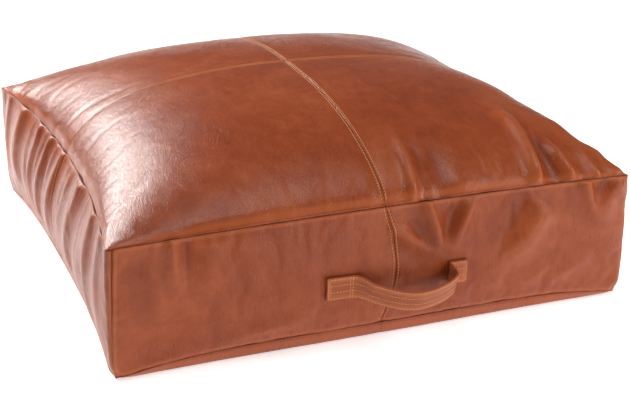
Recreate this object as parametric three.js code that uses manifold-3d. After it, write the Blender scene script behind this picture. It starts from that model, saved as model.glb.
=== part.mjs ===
// A square leather floor pouf: top, side and bottom panels sewn round a lined filling,
// with a carrying handle on the front and a zip in the underside.
// Millimetres, +Z up, the floor at z = 0, the handle side facing -Y.

import * as THREE from 'three';
import { mergeVertices } from 'three/addons/utils/BufferGeometryUtils.js';
import Module from 'manifold-3d';

const wasm = await Module();
wasm.setup();

// ---------------------------------------------------------------- the cushion's size

const HALF = 350;                       // half of a side, corner to corner
const SEAM_HEIGHT = 174;                // the top seam at the corners
const CROWN = 100;                      // rise of the stuffed top above its seam
const FRONT_SEAM_LIFT = 6;              // the top seam rides up in the middle of the front
const BOTTOM_SEAM_CORNER = 3;           // height of the bottom seam at the corners
const BOTTOM_SEAM_RISE = 19;            // and how much higher it is in the middle of a side
const BOTTOM_ROUND_START = 0.94;        // share of the half side where the bottom turns up

// How far the middle of each side stands out from the straight line between its corners:
// at the top seam, at the bottom seam, and the bulge half way up.
const SIDES = {
  front: { top: 10, bottom: 3, bulge: 11 },
  right: { top: -20, bottom: -8, bulge: 14 },
  back: { top: 1, bottom: 0, bulge: 9 },
  left: { top: -25, bottom: -8, bulge: 18 },
};

// Depths below the cover's outer face.
const LEATHER = [0, 1.6];
const BACKING = [2.5, 3.3];
const LINER = [3.6, 4.1];
const FILLING = 4.4;
const SHRINK_CENTRE_Z = 110;            // the layers nest towards this height

const SEAM_GAP = 0.3;                   // between two panels that are sewn together
const CORNER_GAP = 0.25;                // each panel's share of the gap at an upright corner

// The handle puts the box's middle in front of the cushion's middle, so all is moved back.
const CENTRE_SHIFT_Y = 25;

// ---------------------------------------------------------------- the zip's size

const ZIP_HALF_LENGTH = 210;            // half of the row of teeth
const RECESS_FLAT_X = 236;              // the recess is at its full depth out to here
const RECESS_END_X = 254;               // and has closed here
const RECESS_HALF_WIDTH = 45.5;
const RECESS_RISE = 7;                  // height of the leather lips above the floor
const LIP_Y = 4;                        // half of the opening between the lips
const LINER_RISE = 14;                  // the liner clears the slider
const TEETH_Y = [0.6, 2.3];
const TEETH_Z = [8.4, 10.0];
const TAPE_Y = [2.6, 18];
const TAPE_Z = 8.9;
const TAPE_THICKNESS = 0.6;
const TAPE_OVERHANG = 8;
const SLIDER_LENGTH = 12;
const SLIDER_WIDTH = 7;
const SLIDER_PLATES_Z = [[6.3, 8.0], [10.4, 11.8]];
const SLIDER_POST = [3, 0.6];
const STOP_GAP = 0.3;
const STOP_LENGTH = 3;
const SLIDER_REST_X = -(ZIP_HALF_LENGTH + STOP_GAP - SLIDER_LENGTH / 2 - SEAM_GAP);
const PULL_PIVOT_Z = 5.4;
const PULL_LENGTH = 28;
const PULL_TILT = THREE.MathUtils.degToRad(9);

// ---------------------------------------------------------------- the handle's size

const STRAP_WIDTH = 32;
const STRAP_THICKNESS = 3.2;
const STRAP_GAP = 0.5;                  // between the strap's back and the front panel
const STRAP_LEFT_END = [-84, 86];       // x and height of each end's centre
const STRAP_RIGHT_END = [110, 81.5];
const STRAP_DROOP = THREE.MathUtils.degToRad(22);
const DROOP_REACH = 15;                 // the strap has twisted to its droop this far out
const PIVOT_X = 16;
const PIVOT_Z = 84;
const PIVOT_CUT_RADIUS = 28;            // the rigid ends and the lifting grip part here
const PATCH_MARGIN = 4;                 // the patches inside are this much bigger all round

// ---------------------------------------------------------------- materials

const leather = new THREE.MeshStandardMaterial({ color: '#9c5131', roughness: 0.38, metalness: 0 });
const strapLeather = new THREE.MeshStandardMaterial({ color: '#ab6138', roughness: 0.45, metalness: 0 });
const patchLeather = new THREE.MeshStandardMaterial({ color: '#8a5a3c', roughness: 0.8, metalness: 0 });
const linerCloth = new THREE.MeshStandardMaterial({ color: '#e4dccb', roughness: 0.95, metalness: 0 });
const fibre = new THREE.MeshStandardMaterial({ color: '#f2efe8', roughness: 1, metalness: 0 });
const tapeCloth = new THREE.MeshStandardMaterial({ color: '#5b3323', roughness: 0.9, metalness: 0 });
const nylon = new THREE.MeshStandardMaterial({ color: '#4a2a1d', roughness: 0.5, metalness: 0 });
const brass = new THREE.MeshStandardMaterial({ color: '#b08d4f', roughness: 0.35, metalness: 1 });

const pouf = new THREE.Group();
pouf.position.y = CENTRE_SHIFT_Y;

function add(name, geometry, material) {
  const mesh = new THREE.Mesh(geometry, material);
  mesh.name = name;
  pouf.add(mesh);
}

// ---------------------------------------------------------------- the cover's outer face

const mix = THREE.MathUtils.lerp;

// The crown's height over one half side, as a share: nearly flat in the middle, steep at the seam.
function crownShare(t) {
  return (1 - Math.abs(t) ** 2.6) ** 0.65;
}

// A point of the unit square, from -1 to 1 both ways, as the plan position at one seam level.
function planAt(u, v, level) {
  const sideX = u > 0 ? SIDES.right : SIDES.left;
  const sideY = v > 0 ? SIDES.back : SIDES.front;
  return [
    Math.sign(u) * (HALF * Math.abs(u) + sideX[level] * Math.abs(u) ** 3 * (1 - v * v)),
    Math.sign(v) * (HALF * Math.abs(v) + sideY[level] * Math.abs(v) ** 3 * (1 - u * u)),
  ];
}

function topSeamHeight(u, v) {
  const frontShare = Math.max(0, -v) ** 4;
  return SEAM_HEIGHT + FRONT_SEAM_LIFT * frontShare * (1 - u * u);
}

function bottomSeamHeight(u, v) {
  const along = Math.min(Math.abs(u), Math.abs(v));
  const out = Math.max(Math.abs(u), Math.abs(v), 1e-6);
  return BOTTOM_SEAM_CORNER + BOTTOM_SEAM_RISE * (1 - (along / out) ** 2);
}

function topPoint(u, v) {
  const [x, y] = planAt(u, v, 'top');
  return new THREE.Vector3(x, y, topSeamHeight(u, v) + CROWN * crownShare(u) * crownShare(v));
}

// The underside is flat on the floor and turns up round its edge to the bottom seam.
function bottomPoint(u, v) {
  const [x, y] = planAt(u, v, 'bottom');
  const out = Math.max(Math.abs(u), Math.abs(v));
  const turn = Math.max(0, (out - BOTTOM_ROUND_START) / (1 - BOTTOM_ROUND_START));
  return new THREE.Vector3(x, y, bottomSeamHeight(u, v) * (1 - Math.sqrt(1 - turn * turn)));
}

// 1 over the zip, 0 outside its recess.
function recessShare(x, y) {
  const alongZip = THREE.MathUtils.clamp((RECESS_END_X - Math.abs(x)) / (RECESS_END_X - RECESS_FLAT_X), 0, 1);
  const acrossZip = Math.max(0, 1 - Math.abs(y) / RECESS_HALF_WIDTH);
  return alongZip * acrossZip;
}

// The leather underside, with its lips turned up beside the zip. side is +1 behind it, -1 in front.
function lippedPoint(u, v, side) {
  const p = bottomPoint(u, v);
  const share = recessShare(p.x, p.y);
  const seamShare = Math.max(0, 1 - Math.abs(p.y) / RECESS_HALF_WIDTH);
  p.z += RECESS_RISE * share;
  p.y += side * Math.max(LIP_Y * share, SEAM_GAP / 2 * seamShare);
  return p;
}

// The same underside as the liner and the filling follow it, arched over the zip.
function archedPoint(u, v) {
  const p = bottomPoint(u, v);
  p.z += LINER_RISE * recessShare(p.x, p.y);
  return p;
}

// A side wall: (u, v) runs round the edge of the square, w from the bottom seam to the top one.
function wallPoint(side, s, w, gap) {
  const [u, v] = { front: [s, -1], right: [1, s], back: [s, 1], left: [-1, s] }[side];
  const [x0, y0] = planAt(u, v, 'bottom');
  const [x1, y1] = planAt(u, v, 'top');
  const bulge = SIDES[side].bulge * Math.sin(Math.PI * w) * (1 - s ** 4);
  const facesX = side === 'right' || side === 'left';
  const outX = facesX ? u * bulge : 0;
  const outY = facesX ? 0 : v * bulge;
  const low = bottomSeamHeight(u, v) + gap;
  const high = topSeamHeight(u, v) - gap;
  return new THREE.Vector3(mix(x0, x1, w) + outX, mix(y0, y1, w) + outY, mix(low, high, w));
}

// The front panel's outer face at a plan position and height, for what is sewn to it.
function frontFaceY(x, z) {
  const s = x / HALF;
  const low = bottomSeamHeight(s, -1);
  const high = topSeamHeight(s, -1);
  return wallPoint('front', s, (z - low) / (high - low), 0).y;
}

// Moves a point of the outer face to a depth below it, so that all layers nest.
function inset(p, depth) {
  const reach = p.z > SHRINK_CENTRE_Z ? SEAM_HEIGHT + CROWN - SHRINK_CENTRE_Z : SHRINK_CENTRE_Z;
  const plan = 1 - depth / HALF;
  const z = SHRINK_CENTRE_Z + (p.z - SHRINK_CENTRE_Z) * (1 - depth / reach);
  return new THREE.Vector3(p.x * plan, p.y * plan, z);
}

// ---------------------------------------------------------------- panels from grids

// Where the grids are sampled, as shares of a half side: close together at the turned edges,
// along X also at the recess's ends, along Y also across the recess.
const EDGE_STEPS = [0.85, BOTTOM_ROUND_START, 0.985, 1];
const X_STEPS = [0, 0.22, 0.44, RECESS_FLAT_X / HALF, RECESS_END_X / HALF, ...EDGE_STEPS];
const Y_STEPS = [0, 0.05, RECESS_HALF_WIDTH / HALF, 0.4, 0.65, ...EDGE_STEPS];
const WALL_STEPS = [0, 0.2, 0.4, 0.6, 0.8, 1];

function bothWays(steps) {
  return [...steps.slice(1).reverse().map((t) => -t), ...steps];
}

// One half of a row of steps, on the side given, kept clear of the seam at its start.
function oneWay(steps, side, firstGap, lastGap) {
  const last = steps.length - 1;
  return steps.map((t, i) => {
    if (i === 0) return side * firstGap / HALF;
    return side * (i === last ? t - lastGap / HALF : t);
  });
}

// The vertices and triangles of a grid of points.
function grid(point, us, vs) {
  const points = [];
  const triangles = [];
  for (const u of us) {
    for (const v of vs) points.push(point(u, v));
  }
  for (let i = 0; i < us.length - 1; i += 1) {
    for (let j = 0; j < vs.length - 1; j += 1) {
      const a = i * vs.length + j;
      const b = a + vs.length;
      triangles.push([a, b, b + 1], [a, b + 1, a + 1]);
    }
  }
  return { points, triangles };
}

// The grid's edge, once round, in the order that its triangles turn.
function rim(countU, countV) {
  const at = (i, j) => i * countV + j;
  const loop = [];
  for (let i = 0; i < countU - 1; i += 1) loop.push(at(i, 0));
  for (let j = 0; j < countV - 1; j += 1) loop.push(at(countU - 1, j));
  for (let i = countU - 1; i > 0; i -= 1) loop.push(at(i, countV - 1));
  for (let j = countV - 1; j > 0; j -= 1) loop.push(at(0, j));
  return loop;
}

function volume(points, triangles) {
  let sum = 0;
  for (const [a, b, c] of triangles) {
    sum += points[a].dot(points[b].clone().cross(points[c])) / 6;
  }
  return sum;
}

// A geometry from points and triangles, turned so that its faces point out.
function closed(points, triangles) {
  const outward = volume(points, triangles) > 0;
  const index = triangles.flatMap(([a, b, c]) => (outward ? [a, b, c] : [a, c, b]));
  const geometry = new THREE.BufferGeometry();
  geometry.setAttribute('position', new THREE.Float32BufferAttribute(points.flatMap((p) => p.toArray()), 3));
  geometry.setIndex(index);
  geometry.computeVertexNormals();
  return geometry;
}

// A sewn panel: its outer and inner faces, joined by walls round its edge.
function panel(point, us, vs, [outer, inner]) {
  const top = grid((u, v) => inset(point(u, v), outer), us, vs);
  const bottom = grid((u, v) => inset(point(u, v), inner), us, vs);
  const count = top.points.length;
  const triangles = [...top.triangles];
  for (const [a, b, c] of bottom.triangles) triangles.push([a + count, c + count, b + count]);
  const loop = rim(us.length, vs.length);
  loop.forEach((a, i) => {
    const b = loop[(i + 1) % loop.length];
    triangles.push([b, a, a + count], [b, a + count, b + count]);
  });
  return closed([...top.points, ...bottom.points], triangles);
}

// ---------------------------------------------------------------- leather cover

const QUARTERS = { front_left: [-1, -1], front_right: [1, -1], back_left: [-1, 1], back_right: [1, 1] };

for (const [name, [sideX, sideY]] of Object.entries(QUARTERS)) {
  const us = oneWay(X_STEPS, sideX, SEAM_GAP / 2, 0);
  const vs = oneWay(Y_STEPS, sideY, SEAM_GAP / 2, 0);
  add(`top_${name}`, panel(topPoint, us, vs, LEATHER), leather);
}

for (const [name, [sideX, sideY]] of Object.entries(QUARTERS)) {
  const us = oneWay(X_STEPS, sideX, SEAM_GAP / 2, 0);
  const vs = oneWay(Y_STEPS, sideY, 0, 0);
  add(`bottom_${name}`, panel((u, v) => lippedPoint(u, v, sideY), us, vs, LEATHER), leather);
}

const SIDE_HALVES = {
  front_left: ['front', X_STEPS, -1],
  front_right: ['front', X_STEPS, 1],
  right_front: ['right', Y_STEPS, -1],
  right_back: ['right', Y_STEPS, 1],
  back_left: ['back', X_STEPS, -1],
  back_right: ['back', X_STEPS, 1],
  left_front: ['left', Y_STEPS, -1],
  left_back: ['left', Y_STEPS, 1],
};

for (const [name, [side, steps, half]] of Object.entries(SIDE_HALVES)) {
  const along = oneWay(steps, half, SEAM_GAP / 2, CORNER_GAP);
  const wall = (s, w) => wallPoint(side, s, w, SEAM_GAP);
  add(`side_${name}`, panel(wall, along, WALL_STEPS, LEATHER), leather);
}

// ---------------------------------------------------------------- liner and filling

add('liner_top', panel(topPoint, bothWays(X_STEPS), bothWays(Y_STEPS), LINER), linerCloth);
add('liner_bottom', panel(archedPoint, bothWays(X_STEPS), bothWays(Y_STEPS), LINER), linerCloth);

const WALL_SIDES = { front: X_STEPS, right: Y_STEPS, back: X_STEPS, left: Y_STEPS };

for (const [side, steps] of Object.entries(WALL_SIDES)) {
  const half = oneWay(steps, 1, 0, CORNER_GAP);
  const wall = (s, w) => wallPoint(side, s, w, SEAM_GAP);
  add(`liner_${side}`, panel(wall, bothWays(half), WALL_STEPS, LINER), linerCloth);
}

// The filling is one closed block of loose fibre that takes the liner's shape.
function fillingGeometry() {
  const middle = new THREE.Vector3(0, 0, SHRINK_CENTRE_Z);
  const points = [];
  const triangles = [];
  const addFace = (point, us, vs) => {
    const face = grid((u, v) => inset(point(u, v), FILLING), us, vs);
    const [a, b, c] = face.triangles[Math.floor(face.triangles.length / 2)].map((i) => face.points[i]);
    const normal = b.clone().sub(a).cross(c.clone().sub(a));
    const outward = normal.dot(a.clone().sub(middle)) > 0;
    const first = points.length;
    points.push(...face.points);
    for (const t of face.triangles) {
      const [i, j, k] = t.map((n) => n + first);
      triangles.push(outward ? [i, j, k] : [i, k, j]);
    }
  };
  addFace(topPoint, bothWays(X_STEPS), bothWays(Y_STEPS));
  addFace(archedPoint, bothWays(X_STEPS), bothWays(Y_STEPS));
  for (const [side, steps] of Object.entries(WALL_SIDES)) {
    addFace((s, w) => wallPoint(side, s, w, 0), bothWays(steps), WALL_STEPS);
  }
  const geometry = closed(points, triangles);
  geometry.deleteAttribute('normal');
  return mergeVertices(geometry, 0.001);
}

add('fibre_filling', fillingGeometry(), fibre);

// ---------------------------------------------------------------- solids that are joined or cut

function solid(geometry) {
  const bare = geometry.clone();
  bare.deleteAttribute('normal');
  bare.deleteAttribute('uv');
  const merged = mergeVertices(bare, 0.0001);
  return new wasm.Manifold(new wasm.Mesh({
    numProp: 3,
    vertProperties: new Float32Array(merged.attributes.position.array),
    triVerts: new Uint32Array(merged.index.array),
  }));
}

function toGeometry(manifold) {
  const { vertProperties, triVerts } = manifold.getMesh();
  const geometry = new THREE.BufferGeometry();
  geometry.setAttribute('position', new THREE.Float32BufferAttribute(vertProperties, 3));
  geometry.setIndex(Array.from(triVerts));
  geometry.computeVertexNormals();
  return geometry;
}

// A box from its low to its high corner.
function block([x0, y0, z0], [x1, y1, z1]) {
  const box = new THREE.BoxGeometry(x1 - x0, y1 - y0, z1 - z0);
  return box.translate((x0 + x1) / 2, (y0 + y1) / 2, (z0 + z1) / 2);
}

// An outline in plan, standing from one height to another.
function prism(outline, [z0, z1]) {
  const shape = new THREE.ExtrudeGeometry(outline, { depth: z1 - z0, bevelEnabled: false, curveSegments: 6 });
  return shape.translate(0, 0, z0);
}

// ---------------------------------------------------------------- carrying handle

const faceTilt = Math.atan(frontFaceY(PIVOT_X, PIVOT_Z - 1) - frontFaceY(PIVOT_X, PIVOT_Z + 1)) / 2;
const pivotY = frontFaceY(PIVOT_X, PIVOT_Z);

// The strap's middle line: x along the front, y out from it. It leaves the left end at a
// shallow angle, stands out in an arc, and comes back almost square to the right end.
const strapLine = new THREE.Path();
const flat = STRAP_GAP + STRAP_THICKNESS / 2;
strapLine.moveTo(STRAP_LEFT_END[0], flat);
strapLine.lineTo(-50, flat);
strapLine.bezierCurveTo(-42, flat, -34, 12.5, -22, 20.5);
strapLine.bezierCurveTo(-8, 30, 8, 40.5, 28, 40.8);
strapLine.bezierCurveTo(48, 41, 89, 27, 88, 14);
strapLine.bezierCurveTo(87.5, 9, 81, flat, 88, flat);
strapLine.lineTo(STRAP_RIGHT_END[0], flat);

function strapGeometry() {
  const line = strapLine.getPoints(8);
  const [x0, z0] = STRAP_LEFT_END;
  const [x1, z1] = STRAP_RIGHT_END;
  const rings = line.map((p, i) => {
    const before = line[Math.max(0, i - 1)];
    const after = line[Math.min(line.length - 1, i + 1)];
    const tangent = after.clone().sub(before).normalize();
    const out = THREE.MathUtils.smoothstep(p.y - flat, 0, DROOP_REACH);
    const droop = mix(faceTilt, STRAP_DROOP, out);
    const outward = new THREE.Vector3(0, -Math.cos(droop), -Math.sin(droop));
    const across = new THREE.Vector3(0, -Math.sin(droop), Math.cos(droop));
    const height = mix(z0, z1, (p.x - x0) / (x1 - x0));
    const centre = new THREE.Vector3(p.x, frontFaceY(p.x, height), height).addScaledVector(outward, p.y);
    const normal = new THREE.Vector3(-tangent.y, 0, 0).addScaledVector(outward, tangent.x);
    const corners = [[-1, -1], [1, -1], [1, 1], [-1, 1]];
    return corners.map(([a, b]) => centre.clone()
      .addScaledVector(normal, a * STRAP_THICKNESS / 2)
      .addScaledVector(across, b * STRAP_WIDTH / 2));
  });
  const triangles = [];
  for (let i = 0; i < rings.length - 1; i += 1) {
    for (let k = 0; k < 4; k += 1) {
      const a = i * 4 + k;
      const b = i * 4 + (k + 1) % 4;
      triangles.push([a, b, b + 4], [a, b + 4, a + 4]);
    }
  }
  const last = (rings.length - 1) * 4;
  triangles.push([0, 2, 1], [0, 3, 2], [last, last + 1, last + 2], [last, last + 2, last + 3]);
  return closed(rings.flat(), triangles);
}

function pivotCylinder(radius) {
  const cylinder = new THREE.CylinderGeometry(radius, radius, 2 * HALF, 48).rotateZ(Math.PI / 2);
  return cylinder.translate(0, pivotY, PIVOT_Z);
}

const strap = solid(strapGeometry());
const strapEnds = strap.intersect(solid(pivotCylinder(PIVOT_CUT_RADIUS - SEAM_GAP)));
const leftHalf = solid(block([-HALF, -2 * HALF, 0], [PIVOT_X, 0, HALF]));
add('handle_grip', toGeometry(strap.subtract(solid(pivotCylinder(PIVOT_CUT_RADIUS)))), strapLeather);
add('handle_end_left', toGeometry(strapEnds.intersect(leftHalf)), strapLeather);
add('handle_end_right', toGeometry(strapEnds.subtract(leftHalf)), strapLeather);

// A patch of leather inside the front, behind an end of the strap.
function patchGeometry(x0, x1, height) {
  const zs = [-1, 0, 1].map((k) => height + k * (STRAP_WIDTH / 2 + PATCH_MARGIN));
  const xs = [x0 - PATCH_MARGIN, (x0 + x1) / 2, x1 + PATCH_MARGIN];
  return panel((x, z) => new THREE.Vector3(x, frontFaceY(x, z), z), xs, zs, BACKING);
}

add('handle_patch_left', patchGeometry(STRAP_LEFT_END[0], -52, STRAP_LEFT_END[1]), patchLeather);
add('handle_patch_right', patchGeometry(84, STRAP_RIGHT_END[0], STRAP_RIGHT_END[1]), patchLeather);

// ---------------------------------------------------------------- zip

// Each tape lies along the inside of its lip, and carries a row of teeth past the lip's edge.
function tapeGeometry(side) {
  const slope = RECESS_RISE / (RECESS_HALF_WIDTH - LIP_Y);
  const fall = slope * (TAPE_Y[1] - LIP_Y);
  const low = [[TAPE_Y[0], TAPE_Z], [LIP_Y, TAPE_Z], [TAPE_Y[1], TAPE_Z - fall]];
  const high = low.map(([y, z]) => [y, z + TAPE_THICKNESS]).reverse();
  const section = new THREE.Shape([...low, ...high].map(([y, z]) => new THREE.Vector2(side * y, z)));
  const length = 2 * (ZIP_HALF_LENGTH + TAPE_OVERHANG);
  const tape = new THREE.ExtrudeGeometry(section, { depth: length, bevelEnabled: false });
  return tape.rotateX(Math.PI / 2).rotateZ(Math.PI / 2).translate(-length / 2, 0, 0);
}

for (const [name, side] of [['front', -1], ['back', 1]]) {
  const [y0, y1] = TEETH_Y.map((y) => side * y).sort((a, b) => a - b);
  add(`zip_tape_${name}`, tapeGeometry(side), tapeCloth);
  add(
    `zip_teeth_${name}`,
    block([-ZIP_HALF_LENGTH, y0, TEETH_Z[0]], [ZIP_HALF_LENGTH, y1, TEETH_Z[1]]),
    nylon,
  );
}

for (const [name, side] of [['left', -1], ['right', 1]]) {
  const near = side * (ZIP_HALF_LENGTH + STOP_GAP);
  const far = near + side * STOP_LENGTH;
  const [y, z] = [TEETH_Y[1] - 0.1, TEETH_Z];
  add(`zip_stop_${name}`, block([Math.min(near, far), -y, z[0]], [Math.max(near, far), y, z[1]]), brass);
}

// The slider: two shield-shaped plates on a thin post, with a bridge that holds the pull.
function sliderGeometry() {
  const [half, wide] = [SLIDER_LENGTH / 2, SLIDER_WIDTH / 2];
  const shield = new THREE.Shape();
  shield.moveTo(-half, -wide * 0.6);
  shield.lineTo(-half, wide * 0.6);
  shield.quadraticCurveTo(0, wide * 0.75, half * 0.5, wide);
  shield.lineTo(half, wide * 0.7);
  shield.lineTo(half, -wide * 0.7);
  shield.lineTo(half * 0.5, -wide);
  shield.quadraticCurveTo(0, -wide * 0.75, -half, -wide * 0.6);
  const [lower, upper] = SLIDER_PLATES_Z;
  const bury = 0.2;
  const post = SLIDER_POST.map((size) => size / 2);
  const bridge = { x: 3.5, y: 0.9, low: 3.4, foot: 1 };
  let body = solid(prism(shield, lower));
  body = body.add(solid(prism(shield, upper)));
  body = body.add(solid(block([-post[0], -post[1], lower[1] - bury], [post[0], post[1], upper[0] + bury])));
  body = body.add(solid(block([-bridge.x, -bridge.y, bridge.low], [bridge.x, bridge.y, bridge.low + 1])));
  for (const x of [-bridge.x, bridge.x - bridge.foot]) {
    const foot = block([x, -bridge.y, bridge.low], [x + bridge.foot, bridge.y, lower[0] + bury]);
    body = body.add(solid(foot));
  }
  return toGeometry(body).translate(SLIDER_REST_X, 0, 0);
}

// The pull: a crossbar under the bridge, two arms past it, and a tab with a rounded end.
function pullGeometry() {
  const arm = { inner: 1.5, outer: 3, start: 5 };
  const thick = 0.5;
  const outline = new THREE.Shape();
  outline.moveTo(-thick, -arm.outer);
  outline.lineTo(PULL_LENGTH - arm.outer, -arm.outer);
  outline.absarc(PULL_LENGTH - arm.outer, 0, arm.outer, -Math.PI / 2, Math.PI / 2, false);
  outline.lineTo(-thick, arm.outer);
  outline.closePath();
  const window = new THREE.Path();
  window.moveTo(thick, -arm.inner);
  window.lineTo(thick, arm.inner);
  window.lineTo(arm.start, arm.inner);
  window.lineTo(arm.start, -arm.inner);
  window.closePath();
  outline.holes.push(window);
  const pull = prism(outline, [-thick, thick]).rotateY(PULL_TILT);
  return pull.translate(SLIDER_REST_X, 0, PULL_PIVOT_Z);
}

add('zip_slider', sliderGeometry(), brass);
add('zip_pull', pullGeometry(), brass);

export default pouf;
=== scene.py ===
import itertools
import math

import bpy
import numpy as np
from mathutils import Matrix, Vector


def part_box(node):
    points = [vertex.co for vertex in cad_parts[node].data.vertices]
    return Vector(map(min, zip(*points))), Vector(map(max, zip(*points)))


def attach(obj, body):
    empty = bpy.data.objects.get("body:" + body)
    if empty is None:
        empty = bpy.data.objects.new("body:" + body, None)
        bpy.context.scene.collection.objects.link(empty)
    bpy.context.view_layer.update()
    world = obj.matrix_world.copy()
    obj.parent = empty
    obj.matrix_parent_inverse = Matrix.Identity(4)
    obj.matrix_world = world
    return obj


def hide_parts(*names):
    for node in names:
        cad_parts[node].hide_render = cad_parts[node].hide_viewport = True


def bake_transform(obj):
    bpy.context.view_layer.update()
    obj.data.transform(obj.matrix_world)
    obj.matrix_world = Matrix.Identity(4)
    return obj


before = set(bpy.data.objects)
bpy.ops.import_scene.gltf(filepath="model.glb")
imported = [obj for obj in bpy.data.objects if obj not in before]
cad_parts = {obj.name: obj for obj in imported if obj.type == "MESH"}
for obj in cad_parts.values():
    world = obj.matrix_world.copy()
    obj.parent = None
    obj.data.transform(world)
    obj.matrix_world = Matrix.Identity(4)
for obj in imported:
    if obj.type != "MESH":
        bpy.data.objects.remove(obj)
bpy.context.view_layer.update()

# ---- Camera, floor and light ----
# The view from a little left of the front and above it, a white floor lit from beneath like a
# light table, a strong softbox behind on the left, one overhead and three that open up the front.

scene = bpy.context.scene
scene.view_settings.view_transform = "Standard"

slider_low, slider_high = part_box("zip_slider")
MIDDLE_Y = (slider_low.y + slider_high.y) / 2  # the zip runs under the cushion's middle
VIEW_AZIMUTH = math.radians(-21.2)
VIEW_ELEVATION = math.radians(21.6)
VIEW_DISTANCE = 2.138
VIEW_TARGET = Vector((0.045, MIDDLE_Y, 0.0365))
VIEW_LENS = 81.1
FLOOR_GLOW = 0.58
ROOM_LIGHT = 0.14
LAMP_TARGET = Vector((0, MIDDLE_Y, 0.15))


def direction(azimuth, elevation):
    """The direction from the pouf towards a camera or a lamp; azimuth 0 is the front."""
    flat = math.cos(elevation)
    return Vector((math.sin(azimuth) * flat, -math.cos(azimuth) * flat, math.sin(elevation)))


def aimed(add, target, azimuth, elevation, distance, **settings):
    back = direction(azimuth, elevation)
    turn = (-back).to_track_quat("-Z", "Y").to_euler()
    add(location=target + back * distance, rotation=turn, **settings)
    return bpy.context.object


camera = aimed(bpy.ops.object.camera_add, VIEW_TARGET, VIEW_AZIMUTH, VIEW_ELEVATION, VIEW_DISTANCE)
camera.data.lens = VIEW_LENS
scene.camera = camera

bpy.ops.mesh.primitive_plane_add(size=30, location=(0, 0, -0.0006))
floor = bpy.context.object
floor.name = "floor"
floor_paint = bpy.data.materials.new("floor_paint")
floor_paint.use_nodes = True
floor_sockets = floor_paint.node_tree.nodes["Principled BSDF"].inputs
for key, value in {"Base Color": (0.9, 0.9, 0.9, 1), "Roughness": 0.8,
                   "Emission Color": (1, 1, 1, 1), "Emission Strength": FLOOR_GLOW}.items():
    floor_sockets[key].default_value = value
floor.data.materials.append(floor_paint)

LAMPS = {
    # name: azimuth, elevation, distance, width, height, power
    "softbox_behind_left": (209, 32, 2.4, 1.0, 1.3, 74),
    "softbox_overhead": (0, 76, 2.6, 1.4, 1.4, 26),
    "softbox_front_wall": (6, 33, 4.2, 5.0, 2.6, 6),
    "softbox_front_right": (56, 26, 1.9, 0.7, 0.7, 9),
    "softbox_front_low": (20, 4.0, 3.0, 1.8, 0.34, 14),
}
for name, (azimuth, elevation, distance, width, height, power) in LAMPS.items():
    lamp = aimed(bpy.ops.object.light_add, LAMP_TARGET, math.radians(azimuth),
                 math.radians(elevation), distance, type="AREA")
    lamp.name = name
    lamp.data.shape = "RECTANGLE"
    lamp.data.size = width
    lamp.data.size_y = height
    lamp.data.energy = power

world = bpy.data.worlds.new("studio")
world.use_nodes = True
sky = world.node_tree.nodes["Background"].inputs
sky["Color"].default_value = (1, 1, 1, 1)
sky["Strength"].default_value = ROOM_LIGHT
scene.world = world

# ---- The stuffed form ----
# The cover is sewn from flat leather and stuffed hard, so it domes between its seams and its
# longer panels pucker against the shorter seams. The form is drawn as cut and then blown up as
# cloth that is held at its seams; every panel below is laid out on the result.

bottom_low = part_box("bottom_front_left")[0]
crown_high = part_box("top_front_left")[1]
HALF = -bottom_low.x  # half a side, corner to corner
FLAT_FACES = ("top", "bottom")
CROWN_TOP = crown_high.z
TOP_SEAM = 0.174  # height of the top seam at the corners
FRONT_SEAM_LIFT = 0.006
BOTTOM_SEAM = 0.0015  # height of the bottom seam at the corners
BOTTOM_SEAM_RISE = 0.019  # and its rise to the middle of each side
BOTTOM_ROUND_START = 0.962
# How far the middle of each side stands out: at the top seam, the bottom seam and half way up.
OUT_FRONT = (0.010, 0.007, 0.013)
OUT_RIGHT = (-0.020, -0.008, 0.014)
OUT_BACK = (0.001, 0.000, 0.009)
OUT_LEFT = (-0.025, -0.008, 0.018)

CORNER_EARS = 0.0045  # how far the sewn corners stand out past the stuffing
CORNER_EARS_REACH = 0.11
CORNER_TUCK = 0.006  # and how far their lowest tips are drawn in again
CORNER_TUCK_REACH = 0.014

CELLS = 96  # cloth cells along a side
ROWS = 24  # and up a wall
STUFFING_FRAMES = 24
STUFFING_PRESSURE = 3.5
PUCKER_LIMIT = 0.012  # how far the cloth may move from the form as drawn
SETTLING = 40  # passes that even out what the cloth does over a wide area
PUCKER_SHARE = {"top": 0.25, "left": 0.45, "bottom": 0.3}
TAB_SPANS = ((-0.084, -0.050), (0.084, 0.110))  # where the handle's ends are sewn to the front


def crown_share(t):
    return (1 - np.minimum(1, abs(t)) ** 2.6) ** 0.65


def out_of(u, v, level):
    """The plan place of a point of the square (-1 to 1), at the top (0) or bottom (1) seam."""
    side_x = np.where(u > 0, OUT_RIGHT[level], OUT_LEFT[level])
    side_y = np.where(v > 0, OUT_BACK[level], OUT_FRONT[level])
    x = np.sign(u) * (HALF * abs(u) + side_x * abs(u) ** 3 * (1 - v * v))
    y = np.sign(v) * (HALF * abs(v) + side_y * abs(v) ** 3 * (1 - u * u))
    return x, y


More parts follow.
